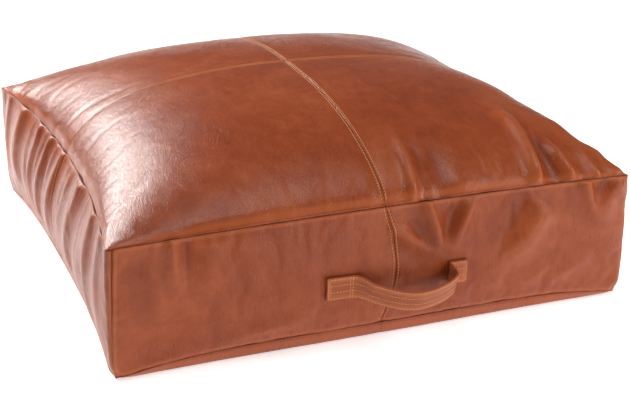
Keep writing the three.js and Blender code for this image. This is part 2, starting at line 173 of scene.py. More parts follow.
def cushion_form(u, v, w):
    """The outer face of the cover: u and v run over the square, w from the bottom seam up."""
    top_x, top_y = out_of(u, v, 0)
    low_x, low_y = out_of(u, v, 1)
    out = np.maximum(abs(u), abs(v))
    along = np.minimum(abs(u), abs(v)) / np.maximum(out, 1e-6)
    low_z = BOTTOM_SEAM + BOTTOM_SEAM_RISE * (1 - along ** 5)
    high_z = TOP_SEAM + FRONT_SEAM_LIFT * np.maximum(0, -v) ** 4 * (1 - u * u)
    turn = np.clip((out - BOTTOM_ROUND_START) / (1 - BOTTOM_ROUND_START), 0, 1)
    under_z = low_z * (1 - np.sqrt(1 - turn ** 2))
    dome_z = high_z + (CROWN_TOP - TOP_SEAM) * crown_share(u) * crown_share(v)
    swell = np.sin(np.pi * w) * (1 - along ** 4)
    bulge_x = np.where(abs(u) == 1, np.sign(u) * np.where(u > 0, OUT_RIGHT[2], OUT_LEFT[2]), 0)
    bulge_y = np.where(abs(v) == 1, np.sign(v) * np.where(v > 0, OUT_BACK[2], OUT_FRONT[2]), 0)
    wall_x = low_x + (top_x - low_x) * w + bulge_x * swell
    wall_y = low_y + (top_y - low_y) * w + bulge_y * swell
    wall_z = low_z + (high_z - low_z) * w
    on_top, underneath = w > 1 - 1e-6, w < 1e-6
    x = np.where(on_top, top_x, np.where(underneath, low_x, wall_x))
    y = np.where(on_top, top_y, np.where(underneath, low_y, wall_y))
    z = np.where(on_top, dome_z, np.where(underneath, under_z, wall_z))
    from_corner = (HALF - abs(x)) ** 2 + (HALF - abs(y)) ** 2
    ears = CORNER_EARS * np.exp(-from_corner / CORNER_EARS_REACH ** 2)
    tuck = CORNER_TUCK * np.exp(-(from_corner + z ** 2) / CORNER_TUCK_REACH ** 2)
    x, y = x + np.sign(x) * (ears - tuck), y + np.sign(y) * (ears - tuck)
    return np.stack([x, y + MIDDLE_Y, z], axis=-1)


bpy.ops.object.select_all(action="DESELECT")
bpy.ops.mesh.primitive_grid_add(x_subdivisions=CELLS, y_subdivisions=CELLS, size=2)
form = bpy.context.object
form.name = "stuffed_form"
bpy.ops.object.mode_set(mode="EDIT")
bpy.ops.mesh.select_mode(type="EDGE")
bpy.ops.mesh.select_all(action="SELECT")
bpy.ops.mesh.extrude_region_move(TRANSFORM_OT_translate={"value": (0, 0, 1)})
bpy.ops.mesh.select_all(action="DESELECT")
bpy.ops.object.mode_set(mode="OBJECT")
corners = form.data.vertices
for edge in form.data.edges:
    low, high = (corners[i].co.z for i in edge.vertices)
    edge.select = abs(high - low) > 0.5
bpy.ops.object.mode_set(mode="EDIT")
bpy.ops.mesh.subdivide(number_cuts=ROWS - 1)
bpy.ops.mesh.select_all(action="SELECT")
bpy.ops.mesh.normals_make_consistent(inside=False)
bpy.ops.object.mode_set(mode="OBJECT")


def places(mesh, key="co"):
    values = np.zeros(len(mesh.vertices) * 3)
    mesh.vertices.foreach_get(key, values)
    return values.reshape(-1, 3)


def move(mesh, points):
    mesh.vertices.foreach_set("co", points.ravel())
    mesh.update()


def select_only(*pieces):
    bpy.ops.object.select_all(action="DESELECT")
    for piece in pieces:
        piece.select_set(True)
    bpy.context.view_layer.objects.active = pieces[0]


square = places(form.data)
steps = np.rint((square + [1, 1, 0]) * [CELLS / 2, CELLS / 2, ROWS]).astype(int)
u, v = steps[:, 0] / (CELLS / 2) - 1, steps[:, 1] / (CELLS / 2) - 1
drawn = cushion_form(u, v, steps[:, 2] / ROWS)
move(form.data, drawn)


def grid_of(chosen, first, second):
    index = np.zeros((first.max() + 1, second.max() + 1), int)
    index[first[chosen], second[chosen]] = np.flatnonzero(chosen)
    return index


i, j, k = steps.T
face_index = {
    "top": grid_of(k == ROWS, i, j),
    "bottom": grid_of(k == 0, i, j),
    "front": grid_of(j == 0, i, k),
    "back": grid_of(j == CELLS, i, k),
    "left": grid_of(i == 0, j, k),
    "right": grid_of(i == CELLS, j, k),
}


def held(name, weights):
    group = form.vertex_groups.new(name=name)
    for i in np.flatnonzero(weights > 0):
        group.add([int(i)], float(weights[i]), "REPLACE")


at_edge = (abs(u) == 1) | (abs(v) == 1)
at_seam = at_edge & ((steps[:, 2] == 0) | (steps[:, 2] == ROWS))
at_corner = (abs(u) == 1) & (abs(v) == 1)
behind_tab = np.zeros(len(u), bool)
for x0, x1 in TAB_SPANS:
    near_tab = (drawn[:, 0] > x0 - 0.008) & (drawn[:, 0] < x1 + 0.008)
    behind_tab |= near_tab & (v == -1) & (abs(drawn[:, 2] - 0.084) < 0.024)
on_floor = (steps[:, 2] == 0) & (np.maximum(abs(u), abs(v)) < BOTTOM_ROUND_START)
held("sewn", (at_seam | at_corner | on_floor | behind_tab).astype(float))
on_wall = at_edge & ~at_seam
held("gathered", np.where(on_wall & (u == -1), 1.0, np.where(on_wall, 0.45, 0.0)))

stuffing = form.modifiers.new("stuffing", "CLOTH")
cloth = {
    "quality": 5, "mass": 0.3, "tension_stiffness": 20, "compression_stiffness": 20,
    "shear_stiffness": 10, "bending_stiffness": 0.6, "vertex_group_mass": "sewn",
    "vertex_group_shrink": "gathered", "shrink_min": -0.012, "shrink_max": -0.05,
    "use_pressure": True, "uniform_pressure_force": STUFFING_PRESSURE,
}
for key, value in cloth.items():
    setattr(stuffing.settings, key, value)
stuffing.settings.effector_weights.gravity = 0
for step in range(1, STUFFING_FRAMES + 1):
    scene.frame_set(step)
select_only(form)
bpy.ops.object.modifier_apply(modifier="stuffing")
# The form as drawn already has its dome and bulges, so only the puckers are kept.
moved = places(form.data) - drawn
for face, index in face_index.items():
    wide = moved[index]
    for _ in range(SETTLING):
        wide[1:-1] = (wide[:-2] + 2 * wide[1:-1] + wide[2:]) / 4
        wide[:, 1:-1] = (wide[:, :-2] + 2 * wide[:, 1:-1] + wide[:, 2:]) / 4
    moved[index] = (moved[index] - wide) * PUCKER_SHARE.get(face, 0.8)
far = np.linalg.norm(moved, axis=1, keepdims=True)
moved *= PUCKER_LIMIT * np.tanh(far / PUCKER_LIMIT) / np.maximum(far, 1e-9)
move(form.data, drawn + moved)

stuffed = places(form.data)
outward = places(form.data, "normal")

# Each face of the form as a grid of points and outward directions, so that a panel can be laid
# on it by its own two lengths. Along a wall the first length runs left to right or front to back.
WALL_HEIGHT = TOP_SEAM - BOTTOM_SEAM
FACES = {face: (stuffed[index], outward[index]) for face, index in face_index.items()}
bpy.data.objects.remove(form)


def smooth_sample(grid, first, second):
    """Grid values at fractional places, through a smooth curve each way."""
    total = 0
    cells = [np.clip(np.floor(t).astype(int), 0, n - 2) for t, n in zip((first, second), grid.shape)]
    weights = []
    for t, cell in zip((first, second), cells):
        f = t - cell
        weights.append([
            ((2 - f) * f - 1) * f / 2,
            ((3 * f - 5) * f * f + 2) / 2,
            ((4 - 3 * f) * f + 1) * f / 2,
            (f - 1) * f * f / 2,
        ])
    padded_grid = np.pad(grid, ((1, 1), (1, 1), (0, 0)), mode="reflect", reflect_type="odd")
    for a in range(4):
        for b in range(4):
            share = weights[0][a] * weights[1][b]
            total = total + share[:, None] * padded_grid[cells[0] + a, cells[1] + b]
    return total


def on_form(face, a, b):
    """Points and outward directions at lengths a and b on a face, in metres.

    a runs from -HALF to HALF; b does too on the top and bottom, and from 0 up on a wall."""
    points, directions = FACES[face]
    first = (a / HALF + 1) * CELLS / 2
    second = (b / HALF + 1) * CELLS / 2 if face in FLAT_FACES else b / WALL_HEIGHT * ROWS
    out = smooth_sample(directions, first, second)
    return smooth_sample(points, first, second), out / np.linalg.norm(out, axis=1, keepdims=True)


# ---- Relief of the leather ----
# What the cloth is too coarse to show: the rolled edge and pinch of each seam, the pressed strip
# between two rows of topstitching, and the folds that stand where the leather was eased in.

MM = 0.001
TOP_ROLL = 0.0013  # radius of a panel's edge where it turns into the top seam
CORNER_ROLL = 0.0014  # into the seam at an upright corner
LOW_ROLL = 0.0008  # and into the bottom seam
PRESSED_ROLL = 0.0010  # and of a seam that is pressed open and topstitched
STITCH_OFFSET = 0.0031  # each row of topstitching from its seam
CORNER_LAP = 0.009  # the left side laps round the corner at the handle side
FRONT_SEAM_SWAY = 0.012  # the front's middle seam sways to the right half way up
ZIP_RISE = 0.007  # height of the lips beside the zip
ZIP_LIP = 0.0044  # and how far each stands from the zip's middle
UNEVEN = 0.0007  # height of the hide's own unevenness
PINCH = 0.0007  # how deep the leather is drawn in beside any seam
STITCH_FURROW = 0.0005  # and pressed in by a row of stitches
UNDERSIDE_SHARE = 0.3  # of all this that is left where the floor presses it flat
ZIP_RECESS = (0.246, 0.266, 0.0455)  # half its full-depth length, its whole one and its width

# Each fold: where it starts and ends (a, b, a, b), its width on either side, its height and its
# bow. All are in millimetres, except that on a wall b is a percentage of its height.
FOLDS = {
    "top": [
        (292, -262, 262, 20, 60, 30, 10, 0), (322, -312, 306, -170, 30, 16, 7, 0),
        (214, -356, 229, -195, 10.5, 8.5, 13.5, 4), (266, -356, 261, -262, 8.5, 7.5, 9, -2),
        (304, -356, 300, -292, 6, 6, 6.2, -1), (338, -350, 326, -262, 13, 8, 6, 0),
        (37, -358, 48, -235, 7.8, 6.5, 8, 5), (80, -356, 88, -270, 18, 15, -4.5, 0),
        (240, -356, 250, -250, 12, 12, -4, 0), (151, -334, 146, -294, 3, 2, 1.4, 2),
        (172, -340, 166, -312, 3, 2, 1, 2), (-352, 300, -318, 328, 8, 10, 1.2, 2),
        (-356, 245, -300, 276, 11, 16, 1.2, 4), (-356, 165, -310, 185, 14, 18, 0.8, 3),
        (356, 120, 290, 155, 10, 18, 3, 3), (356, -110, 290, -145, 12, 18, 2.5, -3),
        (-150, 356, -168, 270, 12, 20, 5.5, 3), (190, 356, 208, 260, 12, 20, 7, -3),
    ],
    "front": [
        (56, 102, 78, 52, 6, 10, 8.5, 1), (118, 96, 86, 54, 8, 7, 8, 2),
        (4, 84, 70, 54, 5.5, 10, 6, -2), (34, 86, 60, 60, 8, 8, -3, 0),
        (90, 92, 86, 62, 8, 8, -2.8, 0), (222, 80, 146, 30, 20, 16, 10, -6),
        (192, 98, 120, 55, 16, 16, -3.5, 0), (284, 100, 302, 62, 7, 11, 8, 2),
        (336, 94, 304, 54, 13, 11, 5.5, 8), (318, 98, 306, 72, 11, 11, -3, 4),
        (244, 34, 186, 6, 11, 11, 4.5, 4), (290, 36, 222, 4, 12, 13, 4.5, 4),
        (-272, 100, -268, 50, 11, 5, 6, 2), (-257, 98, -258, 62, 6, 8, -4, 0),
        (-222, 95, -236, 45, 15, 15, 3.5, 0), (-315, 85, -298, 20, 20, 20, -4.5, 4),
        (-120, 16, -230, 6, 9, 9, 3.5, 2),
    ],
    "left": [
        (330, 100, 342, 40, 10, 8, 1.8, 0), (298, 102, 322, 10, 16, 8, 3.2, 6),
        (226, 102, 262, 0, 32, 10, 6, 8), (176, 90, 196, 10, 20, 11, 2.4, 4),
        (140, 103, 158, 2, 17, 8, 4.6, 6), (112, 103, 116, 30, 10, 7, 2.8, 2),
        (78, 103, 108, 0, 15, 7.5, 4.4, 5), (40, 102, 52, 45, 13, 8, 2.6, 2),
        (4, 103, 40, 2, 21, 9, 4.6, 6), (-62, 95, -44, 20, 30, 14, 2.6, 4),
        (-124, 102, -88, 0, 32, 12, 4.6, 6), (-190, 80, -176, 4, 26, 14, 2.6, 0),
        (-232, 101, -236, 0, 28, 11, 4.2, -4), (-296, 102, -300, 10, 20, 10, 2.8, 0),
    ],
    "right": [
        (262, 100, 276, 12, 16, 18, 4.2, 10), (148, 100, 136, 30, 11, 15, 3.6, 8),
        (96, 100, 104, 2, 14, 16, 4.4, 10), (12, 100, 2, 14, 12, 13, 3.8, 10),
        (-78, 96, -92, 20, 20, 20, 4, 12), (-204, 98, -186, 10, 18, 20, 4, 12),
        (-292, 100, -276, 34, 12, 16, 3.4, 8),
    ],
    "back": [
        (-280, 100, -262, 40, 9, 16, 5, 4), (-120, 98, -150, 45, 12, 18, 4.5, 6),
        (60, 100, 85, 50, 10, 16, 4.5, -4), (210, 100, 190, 30, 11, 18, 5, 6),
        (315, 98, 290, 50, 10, 14, 5, -6),
    ],
    "bottom": [],
}


def rolled(distance, radius):
    """How deep a panel's edge has turned in, at a distance from its seam."""
    near = np.clip(radius - distance, 0, radius)
    return radius - np.sqrt(radius ** 2 - near ** 2)


def fold_height(face, a, b):
    b_unit = MM if face in FLAT_FACES else WALL_HEIGHT / 100
    height = np.zeros_like(a)
    for a0, b0, a1, b1, *sizes in FOLDS[face]:
        before, after, peak, bow = (size * MM for size in sizes)
        start = np.array([a0 * MM, b0 * b_unit])
        run = np.array([a1 * MM, b1 * b_unit]) - start
        length = np.linalg.norm(run)
        run /= length
        t = ((a - start[0]) * run[0] + (b - start[1]) * run[1]) / length
        side = (a - start[0]) * run[1] - (b - start[1]) * run[0]
        side = side - bow * np.sin(np.pi * np.clip(t, 0, 1))
        width = np.where(side < 0, before, after)
        fade_in = np.clip((t + 0.12) / 0.2, 0, 1)
        fade_out = np.clip((1.05 - t) / 0.65, 0, 1)
        along = fade_in * fade_in * (3 - 2 * fade_in) * fade_out * fade_out * (3 - 2 * fade_out)
        ridge = np.exp(-((side / width) ** 2))
        valley = np.exp(-(((side - 2.3 * after) / (1.4 * after)) ** 2))
        height += peak * along * (ridge - 0.35 * valley)
    return height


def unevenness(a, b, size, seed):
    """Smooth random heights from -1 to 1, with features of about the given size."""
    knots = np.random.default_rng(seed).uniform(-1, 1, (int(1.0 / size) + 4, int(1.0 / size) + 4, 1))
    return smooth_sample(knots, (a + 0.5) / size, (b + 0.5) / size)[:, 0]


def corner_lap(b):
    return CORNER_LAP * np.clip(b / WALL_HEIGHT, 0, 1) ** 1.2


def middle_seam(face, b):
    """Where the upright seam in the middle of a side runs."""
    share = np.clip(b / WALL_HEIGHT, 0, 1)
    return FRONT_SEAM_SWAY * np.sin(np.pi * share) - 0.003 * (1 - share) if face == "front" else 0 * b


def tab_share(a, b):
    """1 where the handle's ends hold the leather flat, 0 away from them."""
    share = np.zeros_like(a)
    for x0, x1 in TAB_SPANS:
        beyond = np.maximum(abs(a - (x0 + x1) / 2) - (x1 - x0) / 2, abs(b - 0.070) - 0.017)
        share = np.maximum(share, np.clip(1 - beyond / 0.010, 0, 1))
    return share * share * (3 - 2 * share)


def end_distance(face, a, b):
    """Distance to the nearer end seam: a corner of a wall, or any outer edge of a flat face."""
    if face in FLAT_FACES:
        return np.minimum(HALF - abs(a), HALF - abs(b))
    lap = {"left": 1, "front": -1}.get(face, 0) * corner_lap(b)
    return np.minimum(HALF + a + lap, HALF - a)


def seam_distances(face, a, b):
    """Distances to the nearest plain seam and to the nearest pressed and topstitched one."""
    ends = end_distance(face, a, b)
    if face in FLAT_FACES:
        return ends, np.minimum(abs(a), abs(b)) if face == "top" else abs(a)
    return np.minimum(ends, np.minimum(b, WALL_HEIGHT - b)), abs(a - middle_seam(face, b))


def edge_roll(face, a, b):
    """How deep the leather has turned in at its plain seams."""
    ends = end_distance(face, a, b)
    if face in FLAT_FACES:
        return rolled(ends, TOP_ROLL if face == "top" else LOW_ROLL)
    ends = rolled(np.maximum(ends, 0), CORNER_ROLL)
    return np.maximum(ends, np.maximum(rolled(WALL_HEIGHT - b, TOP_ROLL), rolled(b, LOW_ROLL)))


def relief(face, a, b):
    """Height of the leather above the stuffed form."""
    to_edge, to_pressed = seam_distances(face, a, b)
    to_edge, to_pressed = np.maximum(to_edge, 0), np.maximum(to_pressed, 0)
    pucker = unevenness(a, b, 0.017, 11 + len(face)) * np.exp(-to_edge / 0.016)
    soft = unevenness(a, b, 0.055, 5 + len(face)) * (1 - np.exp(-to_edge / 0.02))
    height = fold_height(face, a, b) * (1 - 0.6 * np.exp(-to_edge / 0.003))
    height += UNEVEN * (pucker + soft)
    if face == "front":
        height *= 1 - tab_share(a, b)
    height -= edge_roll(face, a, b) + PINCH * np.exp(-to_edge / 0.007)
    height -= rolled(to_pressed, PRESSED_ROLL)
    height -= STITCH_FURROW * np.exp(-(((to_pressed - STITCH_OFFSET) / 0.0011) ** 2))
    height -= PINCH * np.exp(-((to_pressed / 0.011) ** 2))
    if face == "bottom":
        height = np.minimum(height, 0) * UNDERSIDE_SHARE
    return height


def zip_share(x, y):
    flat, end, width = ZIP_RECESS
    along = np.clip((end - abs(x)) / (end - flat), 0, 1)
    across = np.clip(1 - abs(y) / width, 0, 1)
    return along * along * (3 - 2 * along) * across


def skin(face, a, b):
    """Where the leather lies and its outward directions."""
    points, out = on_form(face, a, b)
    if face == "left":
        # Past its own wall the panel laps round onto the front, over a rounded corner.
        over = np.maximum(0, -HALF - a)
        lapped, front_out = on_form("front", -HALF + over, b)
        near = np.clip(0.5 + over / 0.012 - np.maximum(0, a + HALF) / 0.012, 0, 1)[:, None]
        points = np.where(over[:, None] > 0, lapped, points)
        out = out * (1 - near) + front_out * near
        out /= np.linalg.norm(out, axis=1, keepdims=True)
        turn = np.clip(1 - abs(a + HALF) / 0.007, 0, 1)
        points = points - out * (0.0035 * turn ** 2)[:, None]
    points = points + out * relief(face, a, b)[:, None]
    if face == "bottom":
        y = points[:, 1] - MIDDLE_Y
        share = zip_share(points[:, 0], y)
        points[:, 2] += ZIP_RISE * share
        side = np.where(b == 0, np.sign(b.mean()), np.sign(b))  # the lip belongs to its own panel
        points[:, 1] += side * ZIP_LIP * share
    return points, out


# ---- Leather of the cover ----
# Full-grain hide, aniline-dyed chestnut and waxed, so its colour clouds over a hand's width and keeps its
# pores.
# Its colour also carries painted highlight on fold ridges and rolled edges, and painted shade in fold hollows
# and seams.


def srgb(*rgb):
    return tuple((c / 255 / 12.92 if c <= 10 else ((c / 255 + 0.055) / 1.055) ** 2.4) for c in rgb) + (1,)


def maths(operation, swapped=False):
    """Arithmetic between a shader value and another, or a number."""
    def worked_out(first, second):
        pair = (second, first) if swapped else (first, second)
        return first.finish.node("ShaderNodeMath", {"operation": operation}, *pair)
    return worked_out


class Value:
    """A shader socket with arithmetic, so that a mask reads as it is worked out."""

    def __init__(self, finish, socket):
        self.finish, self.socket = finish, socket

    __add__ = __radd__ = maths("ADD")
    __mul__ = __rmul__ = maths("MULTIPLY")
    __sub__, __rsub__ = maths("SUBTRACT"), maths("SUBTRACT", swapped=True)

    def clipped(self, low, high):
        """0 at low, 1 at high, and held there beyond them."""
        settings = {"clamp": True, "interpolation_type": "SMOOTHSTEP"}
        return self.finish.node("ShaderNodeMapRange", settings, self, low, high)


class Finish:
    """A material and the nodes that make it."""

    def __init__(self, name):
        self.material = bpy.data.materials.new(name)
        self.material.use_nodes = True
        self.tree = self.material.node_tree
        self.shader = self.tree.nodes["Principled BSDF"]

    def node(self, kind, settings=None, *values, output=0, **named):
        """Any node: its settings first, then its sockets by order or by name; gives one output."""
        made = self.tree.nodes.new(kind)
        for key, setting in (settings or {}).items():
            if key == "stops":
                self.set_stops(made.color_ramp, setting)
            else:
                setattr(made, key, setting)
        for key, value in [*enumerate(values), *((k.replace("_", " "), v) for k, v in named.items())]:
            self.plug(made.inputs[key], value)
        return Value(self, made.outputs[output])

    def plug(self, socket, value):
        if isinstance(value, Value):
            self.tree.links.new(value.socket, socket)
        else:
            socket.default_value = value

    def place(self):
        return self.node("ShaderNodeTexCoord", None, output="Object")

    def cut(self):
        return self.node("ShaderNodeUVMap", {"uv_map": "cut"})

    def set_stops(self, ramp, stops):
        while len(ramp.elements) < len(stops):
            ramp.elements.new(1)
        for element, (place, colour) in zip(ramp.elements, stops):
            element.position, element.color = place, colour

    def mix(self, factor, first, second):
        """Two colours in a share, which may be a mask."""
        made = self.tree.nodes.new("ShaderNodeMix")
        made.data_type = "RGBA"
        for index, value in ((0, factor), (6, first), (7, second)):
            self.plug(made.inputs[index], value)
        return Value(self, made.outputs[2])

    def set(self, **sockets):
        for key, value in sockets.items():
            self.plug(self.shader.inputs[key.replace("_", " ")], value)
        return self.material

    def noise(self, coordinates, scale, detail=4, roughness=0.55, distortion=0.0):
        return self.node("ShaderNodeTexNoise", None, Vector=coordinates, Scale=scale, Detail=detail,
                         Roughness=roughness, Distortion=distortion)

    def bump(self, height, strength, distance, under=None):
        extra = {"Normal": under} if under else {}
        return self.node("ShaderNodeBump", None, Strength=strength, Distance=distance, Height=height, **extra)


def hide(name, deep, middle, pale, pore_and_seam_shade, roughness, coat):
    """Waxed full-grain leather in three tones, with painted shade in its seams and fold hollows and painted
    highlight on fold ridges and rolled edges.
    """
    finish = Finish(name)
    cut = finish.cut()

    def sewn(key):
        return finish.node("ShaderNodeAttribute", {"attribute_name": key}, output="Fac")

    fold, to_edge, to_pressed, tone = (sewn(key) for key in ("fold", "to_edge", "to_pressed", "tone"))

    clouds = finish.noise(cut, 7, 6, 0.62, 0.5)
    marbling = finish.noise(cut, 42, 6, 0.68, 0.8)
    brushed = finish.node("ShaderNodeMapping", None, Vector=cut, Rotation=(0, 0, 0.45), Scale=(1, 0.16, 1))
    streaks = finish.noise(brushed, 260, 4, 0.62)
    depth = clouds * 0.50 + marbling * 0.36 + streaks * 0.14 + tone * 0.010
    colour = finish.node("ShaderNodeValToRGB", {"stops": [(0.27, deep), (0.5, middle), (0.76, pale)]}, depth)
    # Painted highlight on the ridge of each fold and painted shade in its hollow, both from the fold's
    # height.
    ridge_highlight = fold.clipped(0.001, 0.008)
    hollow_shade = (0 - fold).clipped(0.0004, 0.004)
    speck = finish.node("ShaderNodeTexVoronoi", None, Vector=cut, Scale=210.0, output="Distance")
    pores = (0.16 - speck).clipped(0, 0.1) * finish.noise(cut, 26, 3, 0.6).clipped(0.5, 0.64)
    scuffs = finish.noise(cut, 85, 6, 0.72, 1.4).clipped(0.64, 0.76)
    # Painted shade in the crevices of the plain and the pressed seams.
    in_seam = 1 - to_edge.clipped(0.0001, 0.0008)
    in_pressed = 1 - to_pressed.clipped(0.0001, 0.0008)
    # Painted highlight on the rolled edge just beside each plain seam.
    rolled_edge_highlight = to_edge.clipped(0.0014, 0.0026) * (1 - to_edge.clipped(0.004, 0.008))
    # Pores and scuffs are the hide's own marks; the other masks paint highlight and shade.
    for mask, share, shade in ((ridge_highlight, 0.30, pale), (hollow_shade, 0.45, deep), (pores, 0.6, pore_and_seam_shade),
                               (scuffs, 0.4, deep), (in_seam, 0.5, pore_and_seam_shade), (in_pressed, 0.40, pore_and_seam_shade),
                               (rolled_edge_highlight, 0.55, pale)):
        colour = finish.mix(mask * share, colour, shade)

    grain = finish.node("ShaderNodeTexVoronoi", {"feature": "DISTANCE_TO_EDGE"}, Vector=cut, Scale=430.0)
    creases = finish.noise(cut, 300, 5, 0.7)
    slow = finish.noise(cut, 30, 4, 0.6)
    normal = finish.bump(grain.clipped(0, 0.25), 0.58, 0.00024)
    normal = finish.bump(creases, 0.34, 0.0005, normal)
    normal = finish.bump(slow, 0.16, 0.004, normal)
    sheen = roughness + 0.20 * (clouds - 0.5) + 0.30 * (streaks - 0.5) + 0.20 * in_seam
    return finish.set(Base_Color=colour, Roughness=sheen, Normal=normal, Coat_Weight=coat * streaks * 2,
                      Coat_Roughness=0.18, Coat_IOR=1.45, IOR=1.37, Specular_Tint=(1, 0.96, 0.92, 1))


# The last tone colours the pores and the painted shade in the seams.
HIDE_COLOURS = (srgb(120, 47, 20), srgb(149, 67, 32), srgb(178, 93, 52), srgb(84, 34, 12))
seat_leather = hide("seat_leather", *HIDE_COLOURS, 0.20, 0.0)  # polished by use
wall_leather = hide("wall_leather", *HIDE_COLOURS, 0.31, 0.0)  # duller, seldom touched

# ---- Leather panels ----
# Four quarters on top, two halves to each side and four quarters below, cut from 1.6 mm hide.
# Each is its own skin with turned-in edges, sewn to its neighbours edge to edge.

THICKNESS = 0.0016
TURNED_STEPS = (0, 0.0005, 0.0011, 0.0018, 0.0027, 0.0040, 0.0056, 0.0078)
PANEL_STEP = 0.0034
UNDER_STEP = 0.0060


def panel_steps(start, end, step):
    """Places from seam to seam, close together at both so that the edges turn smoothly."""
    length = abs(end - start)
    near = np.array(TURNED_STEPS)
    count = round((length - 2 * near[-1]) / step)
    middle = np.linspace(near[-1], length - near[-1], count + 1)[1:-1]
    return start + np.sign(end - start) * np.concatenate([near, middle, (length - near)[::-1]])


def placed(name, mesh):
    mesh.shade_smooth()
    piece = bpy.data.objects.new(name, mesh)
    scene.collection.objects.link(piece)
    return piece


def sheet_mesh(name, outer, out, shape, thickness, uv, attributes):
    """A closed sheet from a grid of outer points: both faces and the walls round its edge."""
    rows, columns = shape
    count = rows * columns
    index = np.arange(count).reshape(shape)
    quads = np.stack([index[:-1, :-1], index[1:, :-1], index[1:, 1:], index[:-1, 1:]], -1).reshape(-1, 4)
    a, b, c = outer[quads[:, 0]], outer[quads[:, 1]], outer[quads[:, 3]]
    rim = np.concatenate([index[:-1, 0], index[-1, :-1], index[:0:-1, -1], index[0, :0:-1]])
    if np.einsum("ij,ij->i", np.cross(b - a, c - a), out[quads[:, 0]]).sum() < 0:
        quads, rim = quads[:, ::-1], rim[::-1]
    walls = np.stack([np.roll(rim, -1), rim, rim + count, np.roll(rim, -1) + count], -1)
    faces = np.concatenate([quads, quads[:, ::-1] + count, walls])
    mesh = bpy.data.meshes.new(name)
    mesh.from_pydata(np.concatenate([outer, outer - out * thickness]).tolist(), [], faces.tolist())
    layer = mesh.uv_layers.new(name="cut")
    doubled = np.concatenate([uv, uv])
    loops = np.zeros(len(mesh.loops), int)
    mesh.loops.foreach_get("vertex_index", loops)
    layer.data.foreach_set("uv", doubled[loops].ravel())
    for key, values in attributes.items():
        layer = mesh.attributes.new(key, "FLOAT", "POINT")
        layer.data.foreach_set("value", np.concatenate([values, values]).astype(np.float32))
    return placed(name, mesh)


def flat_grid(first, second):
    return (grid.ravel() for grid in np.meshgrid(first, second, indexing="ij"))


panel_numbers = itertools.count(1)


def leather_panel(name, face, a_ends, b_ends, node, step=PANEL_STEP):
    number = next(panel_numbers)
    a_steps, b_steps = panel_steps(*a_ends, step), panel_steps(*b_ends, step)
    a, b = flat_grid(a_steps, b_steps)
    a = a + middle_seam(face, b) * np.clip(1 - abs(a) / 0.09, 0, 1)
    if face in ("front", "left"):
        lap = corner_lap(b) * np.clip(1 - (a + HALF) / 0.08, 0, 1)
        a = a + (lap if face == "front" else -lap)
    points, out = skin(face, a, b)
    to_edge, to_pressed = seam_distances(face, a, b)
    tone = np.full_like(a, np.random.default_rng(number).uniform(-1, 1))
    cut = np.stack([a, b], -1) + number * 0.37  # so that no two share their grain
    piece = sheet_mesh(name, points, out, (len(a_steps), len(b_steps)), THICKNESS, cut,
                       {"fold": fold_height(face, a, b), "to_edge": to_edge,
                        "to_pressed": to_pressed, "tone": tone})
    piece.data.materials.append(seat_leather if face == "top" else wall_leather)
    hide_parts(node)
    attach(piece, "cover")


SIGNS = {"left": -1, "right": 1, "front": -1, "back": 1}

for depth in ("front", "back"):
    for side in ("left", "right"):
        a_ends, b_ends = (0, SIGNS[side] * HALF), (0, SIGNS[depth] * HALF)
        leather_panel(f"top_quarter_{depth}_{side}", "top", a_ends, b_ends, f"top_{depth}_{side}")
        leather_panel(f"bottom_quarter_{depth}_{side}", "bottom", a_ends, b_ends,
                      f"bottom_{depth}_{side}", UNDER_STEP)

for face, halves in {"front": ("left", "right"), "back": ("left", "right"),
                     "left": ("front", "back"), "right": ("front", "back")}.items():
    for half in halves:
        leather_panel(f"side_panel_{face}_{half}", face, (0, SIGNS[half] * HALF), (0, WALL_HEIGHT),
                      f"side_{face}_{half}")

# ---- Liner and filling ----
# A bag of plain calico, in six panels, keeps the loose polyester fibre off the leather. Both take
# the cover's shape a few millimetres inside it, and arch over the zip.

LINER_DEPTH = 0.0078
FIBRE_DEPTH = 0.0110
LINER_THICKNESS = 0.0005
INNER_STEP = 0.011
LINER_ARCH = 0.0085  # how much further the liner rises over the zip's slider


def weave(name, light, dark, threads, roughness, fuzz=0.0):
    """A plain weave of the given number of threads to the metre, or with fuzz, loose fibre."""
    finish = Finish(name)
    cut = finish.cut()
    warp, weft = (finish.node("ShaderNodeTexWave", {"bands_direction": way}, Vector=cut,
                              Scale=threads / 3.2, Distortion=0.6 + 20 * fuzz, Detail=1.0) for way in "XY")
    slub = finish.noise(cut, threads / 14, 5, 0.6)
    height = warp * weft + slub * 0.4
    colour = finish.mix(height.clipped(0.1, 1.1), dark, light)
    return finish.set(Base_Color=colour, Roughness=roughness + 0.1 * (slub - 0.5),
                      Normal=finish.bump(height, 0.5, 0.0004 + 0.004 * fuzz))


calico = weave("calico", srgb(232, 224, 206), srgb(196, 184, 160), 900, 0.92)
loose_fibre = weave("loose_fibre", srgb(246, 244, 238), srgb(214, 210, 202), 120, 0.96, 0.8)


def inner_sheet(name, face, depth):
    b_ends = (-HALF, HALF) if face in FLAT_FACES else (0, WALL_HEIGHT)
    a_steps, b_steps = panel_steps(-HALF, HALF, INNER_STEP), panel_steps(*b_ends, INNER_STEP)
    a, b = flat_grid(a_steps, b_steps)
    points, out = on_form(face, a, b)
    sunk = np.minimum(relief(face, a, b), 0)
    points = points + out * (sunk - depth)[:, None]
    if face == "bottom":
        share = zip_share(points[:, 0], points[:, 1] - MIDDLE_Y)
        points[:, 2] += (ZIP_RISE + LINER_ARCH) * share
    return sheet_mesh(name, points, out, (len(a_steps), len(b_steps)), LINER_THICKNESS,
                      np.stack([a, b], -1), {})


for face in FACES:
    piece = inner_sheet(f"liner_panel_{face}", face, LINER_DEPTH)
    piece.data.materials.append(calico)
    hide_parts(f"liner_{face}")
    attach(piece, "cover")

